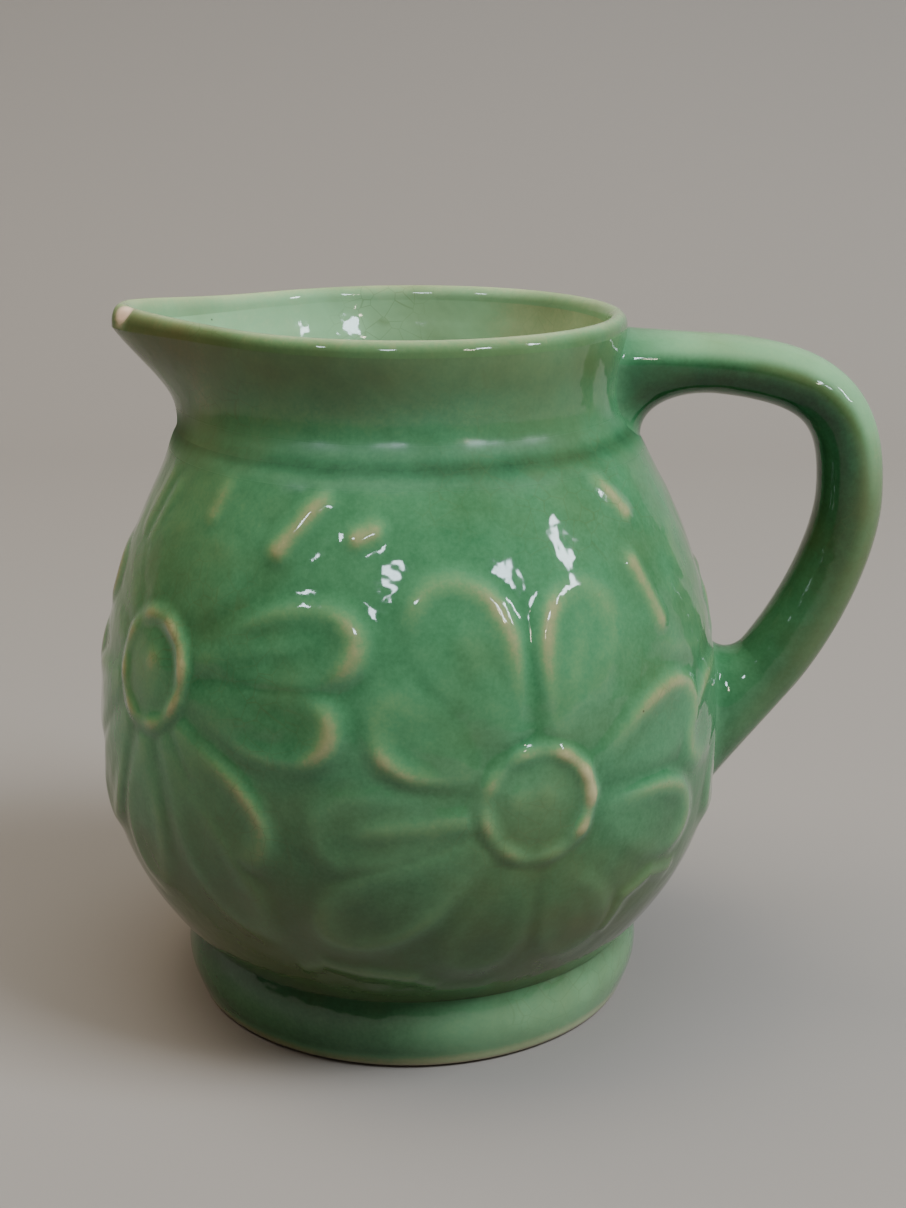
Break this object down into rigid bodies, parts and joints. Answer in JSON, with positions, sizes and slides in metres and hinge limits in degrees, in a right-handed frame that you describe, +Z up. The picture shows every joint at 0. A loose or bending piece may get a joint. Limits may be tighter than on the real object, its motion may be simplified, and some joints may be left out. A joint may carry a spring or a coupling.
{
  "type": "ceramic pitcher",
  "caption": "Small round glazed pitcher with moulded daisies, a pinched spout, a loop handle and a turned foot.",
  "frame": {"origin": "on the table, under the middle of the outline from spout to handle", "axes": "+Z up, +X from the spout towards the handle, -Y towards a viewer who sees the spout on the left"},
  "size_m": [0.1416, 0.1146, 0.1264],
  "materials": {
    "green_glaze": "gloss",
    "pale_glaze": "gloss"
  },
  "bodies": {
    "root": {"foot_ring": "green_glaze", "base_floor": "green_glaze", "belly": "green_glaze", "neck_collar": "green_glaze", "pouring_spout": "green_glaze", "rim_lip": "pale_glaze", "handle": "green_glaze", "handle_top_joint": "green_glaze", "handle_bottom_joint": "green_glaze"}
  },
  "joints": []
}
